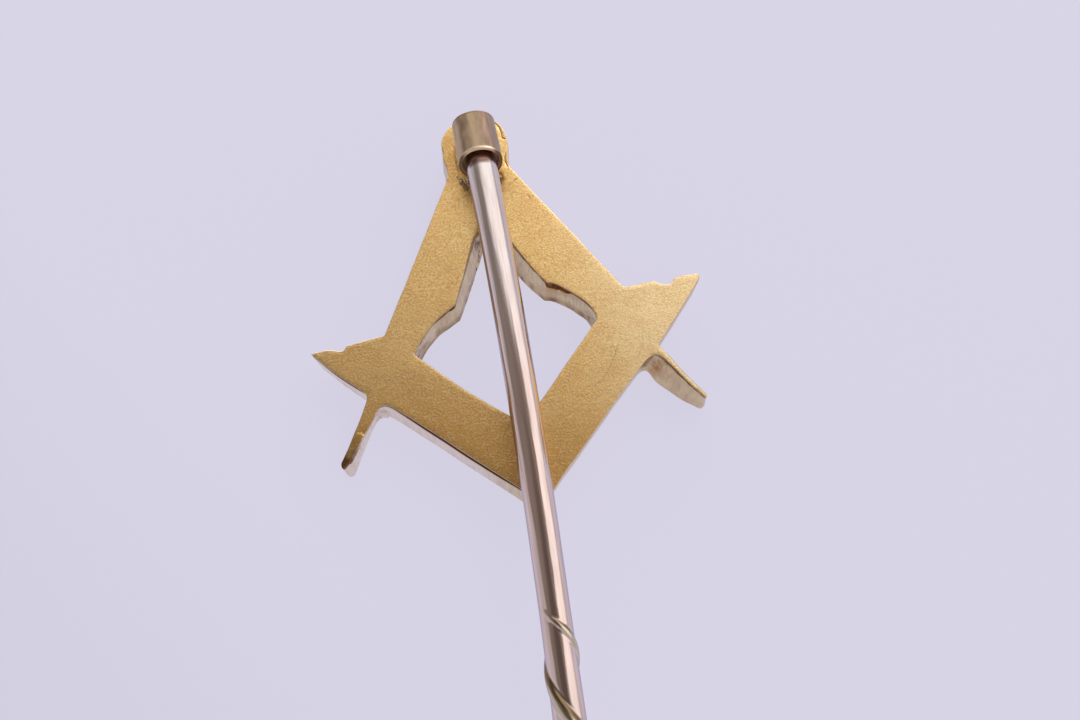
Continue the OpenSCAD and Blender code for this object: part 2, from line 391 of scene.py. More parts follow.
def room_inside(rows):
    """How far each outline point can move inwards before the outline folds over: the step over the turn
    there, and the least of this among its neighbours."""
    ahead = np.roll(rows[:, :2], -1, 0) - rows[:, :2]
    behind = np.roll(ahead, 1, 0)
    cross = behind[:, 0] * ahead[:, 1] - behind[:, 1] * ahead[:, 0]
    turn = np.abs(np.arctan2(cross, (ahead * behind).sum(1)))
    radius = np.linalg.norm(ahead, axis=1) / np.maximum(turn, 1e-6)
    return np.stack([np.roll(radius, k) for k in range(-3, 4)]).min(0)


# Slight waves of the outline, and file strokes across the walls: height and length
EDGE_WAVE = 0.008
EDGE_WAVE_LEN = 1.6
STROKE = 0.006
STROKE_LEN = 0.28
# Rows of the rounded edges and of the filed flat, and how much of the room that an
# outline has a rounding or the seam may take
EDGE_ROWS = 5
FLAT_ROWS = 10
EDGE_ROOM = 0.6
LIP_ROOM = 0.5


def wall(rows, seed, foot_shade):
    """The side of the emblem, one column per outline point and one row per depth: the back edge's rounding,
    the sheet's own edge, the seam, the body's rounded lip, its filed flat and the front edge's rounding.
    Each point is the outline, moved from the back edge to the front edge in proportion to its depth, less
    an inset along the outline's normal. Dirt lies in the seam and in the nicks, and painted shade in the
    coves and, less, along the foot of the wall."""
    back, shift, thick = rows[:, :2], rows[:, 2:4], rows[:, 6]
    room = room_inside(rows)
    edge = np.minimum(rows[:, 5], EDGE_ROOM * room)
    front_edge = np.minimum(FRONT_EDGE, LIP_ROOM * room)
    wave = EDGE_WAVE * ripple(back, EDGE_WAVE_LEN, seed)[:, None]
    along = np.roll(back, -1, 0) - np.roll(back, 1, 0)
    along /= np.linalg.norm(along, axis=1, keepdims=True)
    outward = np.stack([along[:, 1], -along[:, 0]], 1)
    back = back + outward * wave
    # How high the seam is open
    gap = SEAM_HEIGHT * (1 + 0.4 * ripple(back, 0.35, seed + 1))
    for gap_x, gap_y, reach, height in SEAM_GAPS:
        gap = np.maximum(gap, height * np.exp(-(from_spot(back, gap_x, gap_y) / reach) ** 4))
    *closed_at, reach = SEAM_CLOSED
    open_share = 1 - 0.9 * np.exp(-(from_spot(back, *closed_at) / reach) ** 6)
    gap = gap * open_share
    # Depth and inset of the rows, from the back to the front
    turn = np.linspace(0, math.pi / 2, EDGE_ROWS)[:, None]
    edge_depth = edge * (1 - np.cos(turn))
    edge_inset = edge * (1 - np.sin(turn))
    seam_depth = edge + SEAM_DEPTHS + gap * np.array([[0], [0], [1]])
    seam_inset = np.minimum(SEAM_INSET * open_share + 0.6 * gap, EDGE_ROOM * room) * np.array([[0], [1], [1]])
    lip = np.minimum(BODY_LIP, LIP_ROOM * room)
    lip_depth = seam_depth[-1] + lip * (1 - np.cos(turn))
    lip_inset = lip * (1 - np.sin(turn))
    flat_share = np.linspace(0, 1, FLAT_ROWS + 1)[1:, None]
    flat_depth = lip_depth[-1] + (thick - front_edge - lip_depth[-1]) * flat_share
    strokes = ripple(np.broadcast_to(back, (FLAT_ROWS, *back.shape)), STROKE_LEN, seed + 2)
    flat_inset = STROKE * (strokes + 0.7) * np.sin(math.pi * (0.1 + 0.8 * flat_share))
    front_turn = turn[::-1][1:]
    front_depth = thick - front_edge + front_edge * np.cos(front_turn)
    front_inset = front_edge * (1 - np.sin(front_turn))
    depth = np.vstack([edge_depth, seam_depth, lip_depth, flat_depth, front_depth])
    inset = np.vstack([edge_inset, seam_inset, lip_inset, flat_inset, front_inset])
    flat = back + shift * (depth / COMPASS_T)[:, :, None] - outward * inset[:, :, None]
    points = np.concatenate([flat, -depth[:, :, None]], 2)
    # Dirt, nicks, painted shade and brown patches
    dirt_and_shade = np.zeros(depth.shape)
    rust = np.zeros(depth.shape)
    dirt_and_shade[SEAM_DIRT_RING:SEAM_DIRT_RING + len(SEAM_DIRT)] = SEAM_DIRT * (0.15 + 0.85 * open_share)
    # Painted shade along the foot of the wall
    foot = foot_shade * swell(depth / thick, 0.45, 1.0) * (1 + 0.7 * ripple(points, 0.5, seed + 5))
    dirt_and_shade = np.maximum(dirt_and_shade, np.clip(foot, 0, 1))
    # Stains and nicks, and painted shade in the coves and at the foot of the walls beside the stem
    for spot_x, spot_y, spot_z, size, dark in WALL_NICKS_AND_SHADE:
        near = np.linalg.norm((points - [spot_x, spot_y, spot_z]) / [1, 1, 1.2], axis=2) / size
        darkening = dark * np.exp(-near ** 2) * (0.8 + 0.6 * ripple(points, 0.12, seed + 3))
        dirt_and_shade = np.maximum(dirt_and_shade, np.clip(darkening, 0, 1))
        points[:, :, :2] -= outward * (0.2 * dark * size * np.exp(-near ** 4))[:, :, None]
    for rust_x, rust_y, rust_z, size in WALL_RUST:
        near = np.linalg.norm(points - [rust_x, rust_y, rust_z], axis=2) / size
        patch = np.exp(-near ** 2) * (0.9 + 0.5 * ripple(points, 0.2, seed + 4))
        rust = np.maximum(rust, np.clip(patch, 0, 1))
    return points, dirt_and_shade, rust


def along_path(stops, step):
    """Evenly spaced points along a line through the stops."""
    stops = np.asarray(stops, float)
    run = np.concatenate([[0], np.cumsum(np.linalg.norm(np.diff(stops, axis=0), axis=1))])
    at = np.linspace(0, run[-1], max(2, int(run[-1] / step) + 1))
    return np.stack([np.interp(at, run, stops[:, 0]), np.interp(at, run, stops[:, 1])], 1)


def beside(path, offset):
    """The same line, moved sideways by the offset."""
    along = np.gradient(path, axis=0)
    along /= np.linalg.norm(along, axis=1, keepdims=True)
    return path + offset * np.stack([-along[:, 1], along[:, 0]], 1)


def face_grid(loops, keep_off, step, seed, jitter=0.3, edge_room=0.8, line_room=0.5):
    """Points on a jittered grid that lie on the metal and clear of its edges and of the lines drawn on it.
    Jitter and room are shares of the step."""
    low, high = loops[0].min(0), loops[0].max(0)
    x, y = np.meshgrid(np.arange(low[0], high[0], step), np.arange(low[1], high[1], step))
    grid = np.stack([x.ravel(), y.ravel()], 1)
    grid += np.random.default_rng(seed).uniform(-jitter, jitter, grid.shape) * step
    grid = grid[on_metal(grid, loops)]
    grid = grid[nearest(grid, np.vstack(loops)) > edge_room * step]
    return grid[nearest(grid, keep_off) > line_room * step]


def triangulate(loops, lines, loose):
    """Triangles over the metal between the two loops, with the lines kept as edges. Points are numbered as
    given: the loops, then the lines' inner points, then the loose ones."""
    points = np.vstack([*loops, *[line[1] for line in lines], loose])
    edges = []
    first = 0
    for loop in loops:
        number = first + np.arange(len(loop))
        edges.append(np.stack([number, np.roll(number, -1)], 1))
        first += len(loop)
    for (start, end), inner in lines:
        number = np.concatenate([[start], first + np.arange(len(inner)), [end]])
        edges.append(np.stack([number[:-1], number[1:]], 1))
        first += len(inner)
    made = delaunay_2d_cdt([Vector(p) for p in points], np.vstack(edges).tolist(), [], 0, 1e-7)
    source = np.array([given[0] if given else -1 for given in made[3]])
    triangles = source[np.array(made[2])]
    triangles = triangles[(triangles >= 0).all(1)]
    return triangles[on_metal(points[triangles].mean(1), loops)]


def new_mesh(name, points, faces, attributes, face_finish):
    """Makes a mesh object from arrays: points in metres, a list of face arrays, point attributes by name
    and the number of the finish for each face array."""
    mesh = bpy.data.meshes.new(name)
    sizes = np.concatenate([np.full(len(f), f.shape[1]) for f in faces])
    corners = np.concatenate([f.ravel() for f in faces])
    mesh.vertices.add(len(points))
    mesh.vertices.foreach_set("co", np.asarray(points, np.float32).ravel())
    mesh.loops.add(len(corners))
    mesh.loops.foreach_set("vertex_index", corners.astype(np.int32))
    mesh.polygons.add(len(sizes))
    starts = np.concatenate([[0], np.cumsum(sizes)[:-1]])
    mesh.polygons.foreach_set("loop_start", starts.astype(np.int32))
    finish = np.concatenate([np.full(len(f), n) for f, n in zip(faces, face_finish)])
    mesh.polygons.foreach_set("material_index", finish.astype(np.int32))
    mesh.polygons.foreach_set("use_smooth", np.ones(len(sizes), bool))
    for key, values in attributes.items():
        mesh.attributes.new(key, "FLOAT", "POINT").data.foreach_set("value", np.asarray(values, np.float32))
    mesh.update(calc_edges=True)
    mesh.validate()
    piece = bpy.data.objects.new(name, mesh)
    bpy.context.scene.collection.objects.link(piece)
    return piece


def wall_faces(rings, columns, first):
    """Quads of a closed band whose points are numbered ring by ring from the first."""
    ring, column = np.meshgrid(np.arange(rings - 1), np.arange(columns), indexing="ij")
    here = (first + ring * columns + column).ravel()
    after = (first + ring * columns + (column + 1) % columns).ravel()
    return np.stack([here, here + columns, after + columns, after], 1)


# Faint waves of the back face: height, length and seed; and how far from the edge
# they start
BACK_WAVES = [(0.004, 2.2, 31), (0.0012, 0.45, 32)]
BACK_CALM = 0.35


def back_height(points, loops):
    """Height of the back face: faint waves left by filing, less the marks, and flat towards the edge."""
    calm = swell(nearest(points, np.vstack(loops)), 0.0, BACK_CALM)
    height = sum(high * ripple(points, length, seed) for high, length, seed in BACK_WAVES) * calm
    dirt_and_shade = np.zeros(len(points))
    for width, depth, darkness, stops in FACE_MARKS_AND_SHADE:
        near = nearest(points, along_path(stops, 0.01)) / width
        height -= depth * np.exp(-near ** 2)
        dirt_and_shade = np.maximum(dirt_and_shade, darkness * np.exp(-(near / 1.1) ** 2))
    return height, dirt_and_shade


# Steps on the front: about where each starts and ends on the outline. The four
# edges of the legs over the square come first, then the boss over the compasses.
LEG_STEPS = [
    ((4.0, 6.65), (4.6, 4.35)), ((2.8, 5.65), (3.7, 3.6)),
    ((-4.1, 6.45), (-4.75, 4.55)), ((-3.2, 5.62), (-4.1, 3.9)),
]
BOSS_STEP = ((1.2, 13.7), (-1.1, 13.7))
LEG_STEP_SPACING = 0.07
BOSS_STEP_POINTS = 40


def front_lines(loops, thick):
    """The steps on the front, where the compasses lie over the square and the boss over the compasses. Each
    is a line along its top and one along its foot. A step starts and ends where the thickness changes on
    the outline."""
    changes = []
    first = 0
    for values in thick:
        for spot in np.flatnonzero(values != np.roll(values, -1)):
            pair = [spot, (spot + 1) % len(values)]
            if values[pair[0]] < values[pair[1]]:
                pair.reverse()
            changes.append((first + pair[0], first + pair[1]))
        first += len(values)
    changes = np.array(changes)
    spots = np.vstack(loops)

    def crossing(at, level):
        """The nearest change of thickness: its outline point on the step's top (0) or at its foot (1)."""
        return changes[from_spot(spots[changes[:, 0]], *at).argmin(), level]

    lines = []
    for top, foot in LEG_STEPS:
        for level in (0, 1):
            start, end = crossing(top, level), crossing(foot, level)
            count = int(np.hypot(*(spots[end] - spots[start])) / LEG_STEP_SPACING)
            lines.append(((start, end), np.linspace(spots[start], spots[end], count)[1:-1], level))
    centre = np.array([HINGE_X - FRONT_STEP, HINGE_Y])
    for level in (0, 1):
        start, end = (crossing(at, level) for at in BOSS_STEP)
        arms = spots[[start, end]] - centre
        turn_from, turn_to = np.unwrap(np.arctan2(arms[:, 1], arms[:, 0]) % FULL_TURN - [0, FULL_TURN])
        turn_from -= FULL_TURN * (turn_from > 1)
        turn_to -= FULL_TURN * (turn_to >= 0)
        turn = np.linspace(turn_from, turn_to, BOSS_STEP_POINTS)
        reach = np.linspace(np.hypot(*arms[0]), np.hypot(*arms[1]), BOSS_STEP_POINTS)
        arc = centre + reach[:, None] * np.stack([np.cos(turn), np.sin(turn)], 1)
        lines.append(((start, end), arc[1:-1], level))
    return lines


rim, opening = (even(soften(rows), OUTLINE_STEP) for rows in (RIM, OPENING))
rim_wall, rim_dirt_and_shade, rim_rust = wall(rim, 1, RIM_FOOT_SHADE)
opening_wall, opening_dirt_and_shade, opening_rust = wall(opening, 2, OPENING_FOOT_SHADE)
rings = len(rim_wall)

back_loops = [rim_wall[0, :, :2], opening_wall[0, :, :2]]
mark_paths = [along_path(stops, MARK_STEP) for _, _, _, stops in FACE_MARKS_AND_SHADE]
mark_points = np.vstack([
    beside(path, offset * width)
    for path, (width, _, _, _) in zip(mark_paths, FACE_MARKS_AND_SHADE) for offset in MARK_LINES
])
mark_points = mark_points[on_metal(mark_points, back_loops)]
mark_points = mark_points[nearest(mark_points, np.vstack(back_loops)) > MARK_ROOM]
back_rows = np.vstack([mark_points, face_grid(back_loops, mark_points, FACE_STEP, 3)])
back_triangles = triangulate(back_loops, [], back_rows)
back_z, back_dirt_and_shade = back_height(back_rows, back_loops)

front_loops = [rim_wall[-1, :, :2], opening_wall[-1, :, :2]]
step_lines = front_lines(front_loops, [rim[:, 6], opening[:, 6]])
line_points = np.vstack([line[1] for line in step_lines])
front_grid = face_grid(front_loops, line_points, FACE_STEP, 4)
front_triangles = triangulate(front_loops, [line[:2] for line in step_lines], front_grid)


# The legs cross the square's arms outside these x and above this y
RIGHT_END_X = 4.0
LEFT_END_X = -3.9
ARM_END_Y = 4.2


def front_depth(points):
    """Depth of the front face by what lies over each point: the bare square, the compasses or the boss."""
    rim_front, opening_front = front_loops
    thin = rim[:, 6] == SQUARE_T
    arm_end = thin & (rim_front[:, 1] > ARM_END_Y)
    right_end = rim_front[arm_end & (rim_front[:, 0] > RIGHT_END_X)]
    left_end = rim_front[arm_end & (rim_front[:, 0] < LEFT_END_X)]
    low = thin & (rim_front[:, 1] < ARM_END_Y)
    start = -np.flatnonzero(~low)[0]
    outer = np.roll(rim_front, start, 0)[np.roll(low, start)]
    corner = np.vstack([outer, opening_front[opening[:, 6] == SQUARE_T]])
    depth = np.full(len(points), COMPASS_T)
    for region in (right_end, left_end, corner):
        depth[inside(points, region)] = SQUARE_T
    depth[from_spot(points, HINGE_X - FRONT_STEP, HINGE_Y) < HINGE_R] = BOSS_T
    return depth


grid_depth = front_depth(front_grid)
step_depths = [(COMPASS_T, SQUARE_T)] * 2 * len(LEG_STEPS) + [(BOSS_T, COMPASS_T)] * 2
line_depth = np.concatenate([
    np.full(len(inner), depths[level]) for (_, inner, level), depths in zip(step_lines, step_depths)
])

# Points are numbered by parts: outer wall, opening's wall, back face, front face
back_part = np.column_stack([back_rows, back_z])
front_rows = np.vstack([line_points, front_grid])
front_part = np.column_stack([front_rows, -np.concatenate([line_depth, grid_depth])])
rim_count, opening_count = len(rim), len(opening)
base_opening = rings * rim_count
base_back = base_opening + rings * opening_count
base_front = base_back + len(back_part)
rim_number, opening_number = np.arange(rim_count), base_opening + np.arange(opening_count)
back_number = np.concatenate([rim_number, opening_number, base_back + np.arange(len(back_part))])
front_number = np.concatenate([
    rim_number + (rings - 1) * rim_count,
    opening_number + (rings - 1) * opening_count,
    base_front + np.arange(len(front_part)),
])
wall_parts = [rim_wall.reshape(-1, 3), opening_wall.reshape(-1, 3)]
emblem_points = droop(np.vstack([*wall_parts, back_part, front_part]))
front_clean = np.zeros(len(front_part))
emblem_dirt_and_shade = np.concatenate([rim_dirt_and_shade.ravel(), opening_dirt_and_shade.ravel(), back_dirt_and_shade, front_clean])
emblem_rust = np.concatenate([rim_rust.ravel(), opening_rust.ravel(), np.zeros(len(back_part)), front_clean])

# Painted shade that follows the emblem's shape: the left leg's back is painted darker from
# TIP_Y down, where it bends down, but for a spot round each small dent.
TIP_Y = 3.12
TIP_LEN = 0.55
TIP_SHADE = 0.85
TIP_BACK_Z = -0.36
GLINT_SPOT = 0.08
GLINT_UNSHADED = 0.8
emblem_x, emblem_y, emblem_z = emblem_points.T
tip_shade = swell(TIP_Y - emblem_y, 0.0, TIP_LEN) * (emblem_x < LEFT_LEG_X) * (emblem_z > TIP_BACK_Z)
for glint_x, glint_y, _ in LEG_GLINTS:
    from_glint = from_spot(emblem_points, glint_x, glint_y) / GLINT_SPOT
    tip_shade = tip_shade * (1 - GLINT_UNSHADED * np.exp(-from_glint ** 2))
emblem_dirt_and_shade = np.maximum(emblem_dirt_and_shade, TIP_SHADE * tip_shade)
# The outer walls are polished palest towards the lower left. The back has painted light
# on the right arm, between these x, and painted warm shade by the square's corner and
# left of the collar, round a spot there within a reach in x and in y.
PAINTED_LIGHT_X = (1.2, 4.8)
PAINTED_SHADE_Y = 3.4
PAINTED_SHADE_LEN = 2.4
PAINTED_SHADE_FOOT = (-0.9, 13.6)
PAINTED_SHADE_REACH = (0.7, 1.6)
outer_wall = np.arange(len(emblem_points)) < base_opening
pale_side = outer_wall * swell(-emblem_x - 0.15 * emblem_y, 0.3, 1.5)
painted_light_back = swell(emblem_x, *PAINTED_LIGHT_X)
painted_shade_back = swell(PAINTED_SHADE_Y + 0.6 * np.clip(-emblem_x, 0, 3) - emblem_y, 0.0, PAINTED_SHADE_LEN)
from_foot = from_spot((emblem_points[:, :2] - PAINTED_SHADE_FOOT) / PAINTED_SHADE_REACH, 0, 0)
painted_shade_back = np.maximum(painted_shade_back, np.exp(-from_foot ** 2))
emblem = new_mesh(
    "square_and_compasses",
    lay(emblem_points),
    [
        back_number[back_triangles],
        front_number[front_triangles][:, ::-1],
        wall_faces(rings, rim_count, 0),
        wall_faces(rings, opening_count, base_opening),
    ],
    {"dirt_and_shade": emblem_dirt_and_shade, "pale": pale_side, "rust": emblem_rust, "painted_light": painted_light_back, "painted_shade": painted_shade_back},
    [0, 1, 2, 2],
)


def new_finish(name, roughness, metallic=1.0):
    """A bare finish: its material, node tree, shader and the piece's own coordinates."""
    material = bpy.data.materials.new(name)
    material.use_nodes = True
    tree = material.node_tree
    shader = tree.nodes["Principled BSDF"]
    shader.inputs["Metallic"].default_value = metallic
    shader.inputs["Roughness"].default_value = roughness
    return material, tree, shader, tree.nodes.new("ShaderNodeTexCoord").outputs["Object"]


def add_node(tree, kind, output, inputs, **settings):
    """Adds a node and returns one of its outputs. An input that is another node's result is linked."""
    node = tree.nodes.new("ShaderNode" + kind)
    for key, value in settings.items():
        setattr(node, key, value)
    for key, value in inputs.items():
        if isinstance(value, bpy.types.NodeSocket):
            tree.links.new(value, node.inputs[key])
        else:
            node.inputs[key].default_value = value
    return node.outputs[output]


def noise(tree, place, scale, detail=2.0, shift=(0, 0, 0), rough=0.5):
    """Noise with the given number of spots per millimetre, or one number each for x, y and z."""
    scaled = {"Vector": place, "Scale": np.full(3, scale) / MM, "Location": shift}
    spots = {"Vector": add_node(tree, "Mapping", "Vector", scaled), "Scale": 1.0}
    return add_node(tree, "TexNoise", "Fac", {**spots, "Detail": detail, "Roughness": rough})


def ramp(tree, value, from_low, from_high, to_low, to_high, course="LINEAR"):
    """Carries a value from one range to another, held at both ends."""
    spans = {"From Min": from_low, "From Max": from_high, "To Min": to_low, "To Max": to_high}
    return add_node(tree, "MapRange", "Result", {"Value": value, **spans}, interpolation_type=course)


def tint(tree, share, first, second):
    """Mixes two colours, each given as numbers or as the result of an earlier mix."""
    first, second = ((*colour, 1.0) if isinstance(colour, tuple) else colour for colour in (first, second))
    return add_node(tree, "Mix", 2, {0: share, 6: first, 7: second}, data_type="RGBA", clamp_factor=True)


def attribute(tree, name):
    """One of the piece's own values, stored at its points."""
    return add_node(tree, "Attribute", "Fac", {}, attribute_name=name)


def relief(tree, shader, layers):
    """Fine relief: each layer is a value and the height in millimetres that it stands for."""
    before = {}
    for value, height in layers:
        normal = add_node(tree, "Bump", "Normal", {"Distance": height * MM, "Height": value, **before})
        before = {"Normal": normal}
    tree.links.new(normal, shader.inputs["Normal"])


def product(tree, first, second):
    """Multiplies two values."""
    return add_node(tree, "Math", "Value", {0: first, 1: second}, operation="MULTIPLY")


def coats(tree, base, layers):
    """Lays colours over the base one after another. Each layer is a value, or the name of one stored at the
    piece's points, the two values between which the colour comes on, how much of it then shows, and the
    colour."""
    for value, low, high, share, colour in layers:
        if isinstance(value, str):
            value = attribute(tree, value)
        base = tint(tree, ramp(tree, value, low, high, 0, share), base, colour)
    return base


def surface(tree, shader, base, marks, smooth, rough, layers):
    """Joins up a finish: its colour, its roughness, which grows with the marks, and its relief."""
    tree.links.new(base, shader.inputs["Base Color"])
    tree.links.new(ramp(tree, marks, 0.3, 0.7, smooth, rough), shader.inputs["Roughness"])
    relief(tree, shader, layers)


def dull(tree, shader, dirt_and_shade):
    """Dirt and painted shade are no metal: the more of them, the less the surface mirrors."""
    tree.links.new(ramp(tree, dirt_and_shade, 0.15, 0.7, 1, 0), shader.inputs["Metallic"])
    shader.inputs["Specular IOR Level"].default_value = 0.1


def satin_gold():
    """Matt back of the sheet: fine grain, warmer and cooler patches, faint lines from the polishing stick,
    painted light on the right arm and painted shade by the corner, the collar and the left leg's tip.
    """
    material, tree, shader, place = new_finish("satin_gold", 0.4)
    patch = noise(tree, place, 0.45, 2.0)
    cloud = noise(tree, place, 0.9, 3.0, (5, 2, 0))
    grain = noise(tree, place, 15, 2.0, rough=0.7)
    blush = noise(tree, place, 14, 1.0, (3, 1, 0))
    moss = noise(tree, place, 13, 1.0, (7, 5, 0))
    lines = noise(tree, place, (0.8, 16, 0.8), 2.0)
    base = coats(tree, (0.89, 0.575, 0.20), [
        (patch, 0.3, 0.7, 1, (0.95, 0.66, 0.26)),
        # Painted light on the right arm and painted warm shade by the corner and the collar
        ("painted_light", 0, 1, 0.9, (1.0, 0.81, 0.45)),
        ("painted_shade", 0, 1, 0.9, (0.74, 0.42, 0.10)),
        (cloud, 0.52, 0.72, 0.35, (0.74, 0.42, 0.15)),
    ])
    dark_share = ramp(tree, grain, 0.46, 0.66, 0, 0.75)
    # Less dark grain under the painted light
    dark_share = product(tree, dark_share, ramp(tree, attribute(tree, "painted_light"), 0, 1, 1, 0.6))
    base = tint(tree, dark_share, base, (0.62, 0.34, 0.10))
    dirt_and_shade = attribute(tree, "dirt_and_shade")
    base = coats(tree, base, [
        (grain, 0.48, 0.30, 0.80, (1.0, 0.82, 0.46)),
        (blush, 0.5, 0.72, 0.6, (0.92, 0.52, 0.32)),
        (moss, 0.5, 0.72, 0.25, (0.76, 0.66, 0.20)),
        (lines, 0.48, 0.7, 0.18, (0.60, 0.40, 0.16)),
        # Dark brown for dirt, marks and painted shade
        (dirt_and_shade, 0.03, 0.9, 1, (0.06, 0.025, 0.01)),
    ])
    dull(tree, shader, dirt_and_shade)
    surface(tree, shader, base, grain, 0.33, 0.46, [(grain, 0.009), (lines, 0.0012)])
    return material


def filed_wall():
    """Side walls: polished, greyer than the back, with file marks across the thickness, a dirty seam and
    painted shade in the coves and along the foot.
    """
    material, tree, shader, place = new_finish("filed_wall", 0.26)
    streak = noise(tree, place, (9, 9, 1.2), 3.0)
    cloud = noise(tree, place, 2.2, 3.0)
    base = coats(tree, (0.70, 0.565, 0.34), [
        (cloud, 0.38, 0.62, 1, (0.62, 0.455, 0.28)),
        (streak, 0.45, 0.75, 0.45, (0.42, 0.30, 0.20)),
    ])
    base = tint(tree, attribute(tree, "rust"), base, (0.50, 0.25, 0.11))
    pale = coats(tree, (0.82, 0.70, 0.58), [(streak, 0.45, 0.75, 0.5, (0.56, 0.43, 0.34))])
    base = tint(tree, attribute(tree, "pale"), base, pale)
    dirt_and_shade = attribute(tree, "dirt_and_shade")
    # Brown for dirt and painted shade, redder on the brown patches
    grime_and_shade = tint(tree, attribute(tree, "rust"), (0.19, 0.080, 0.032), (0.42, 0.19, 0.08))
    base = coats(tree, base, [(dirt_and_shade, 0.1, 0.8, 1, grime_and_shade)])
    dull(tree, shader, dirt_and_shade)
    surface(tree, shader, base, streak, 0.20, 0.32, [(streak, 0.008)])
    return material


def polished_front():
    """Front of the emblem: bright polished yellow gold with hair-fine wear."""
    material, tree, shader, place = new_finish("polished_front", 0.2)
    wear = noise(tree, place, (3, 14, 3), 4.0)
    base = coats(tree, (0.83, 0.60, 0.26), [(wear, 0.3, 0.7, 1, (0.78, 0.54, 0.22))])
    surface(tree, shader, base, wear, 0.14, 0.26, [(wear, 0.004)])
    return material


for finish in (satin_gold(), polished_front(), filed_wall()):
    emblem.data.materials.append(finish)
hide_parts("emblem")
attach(emblem, "root")

# Collar: a short drawn tube of redder gold, closed at its upper end, that holds
# the stem. Filed flat underneath and soldered to the sheet over the hinge. It is
# tarnished brown, with a painted highlight on the upper edge of its mouth.
COLLAR_X = 0.19
COLLAR_R = 0.8
COLLAR_Z = 0.77
COLLAR_WALL = 0.13
COLLAR_LEN = 1.9
COLLAR_CAP = 0.3
MOUTH_Y = 12.25
LIP = 0.03
LIP_BACK = 0.08
BORE_SHOWN = 0.30
# Darker streaks along the collar: degrees round it from the right, half width,
# darkness
COLLAR_STREAKS = [
    (128, 9, 0.70), (112, 7, 0.45), (82, 5, 0.35), (60, 12, 0.60), (40, 7, 0.30), (158, 6, 0.30),
]
# Profile from the bottom of the bore over the lip to the closed end: radius,
# distance from the mouth. PROFILE_STEP is the spacing of its points.
bore_r = COLLAR_R - COLLAR_WALL
COLLAR_PROFILE = [
    (0.02, BORE_SHOWN - 0.10), (bore_r - 0.12, BORE_SHOWN),
    (bore_r - 0.03, BORE_SHOWN), (bore_r, BORE_SHOWN - 0.04),
    (bore_r, LIP_BACK + 3 * LIP), (bore_r + 0.4 * LIP, LIP_BACK + 0.7 * LIP), (bore_r + 1.2 * LIP, LIP_BACK),
    (COLLAR_R - 1.2 * LIP, LIP_BACK), (COLLAR_R - 0.3 * LIP, LIP_BACK + 0.3 * LIP),
    (COLLAR_R, LIP_BACK + 1.2 * LIP), (COLLAR_R, COLLAR_LEN - 0.05),
    (COLLAR_R - 0.015, COLLAR_LEN - 0.015), (COLLAR_R - 0.05, COLLAR_LEN), (0.02, COLLAR_LEN),
]
PROFILE_STEP = 0.02
COLLAR_COLUMNS = 144
# How far the wall is out of round and the mouth wavers, and how much further the
# closed end reaches at its right and at both sides
OUT_OF_ROUND = 0.006
MOUTH_WAVE = 0.008
END_RIGHT = 0.015
END_SIDES = 0.115
# Half widths along the profile of the lip's painted highlight and of the painted shade below it
LIP_HIGHLIGHT = 0.06
LIP_SHADE = 0.09


def skin(name, grid, attributes):
    """A closed skin over rings of points, with a pole at the middle of the first and of the last ring."""
    ring_count, columns = grid.shape[:2]
    points = np.vstack([grid.reshape(-1, 3), grid[0].mean(0), grid[-1].mean(0)])
    column = np.arange(columns)
    after = (column + 1) % columns
    last = (ring_count - 1) * columns
    pole = ring_count * columns
    start = np.stack([np.full(columns, pole), column, after], 1)
    end = np.stack([np.full(columns, pole + 1), last + after, last + column], 1)
    values = {
        key: np.concatenate([value.ravel(), [value[0].mean(), value[-1].mean()]])
        for key, value in attributes.items()
    }
    return new_mesh(name, lay(points), [wall_faces(ring_count, columns, 0), start, end], values, [0, 0, 0])


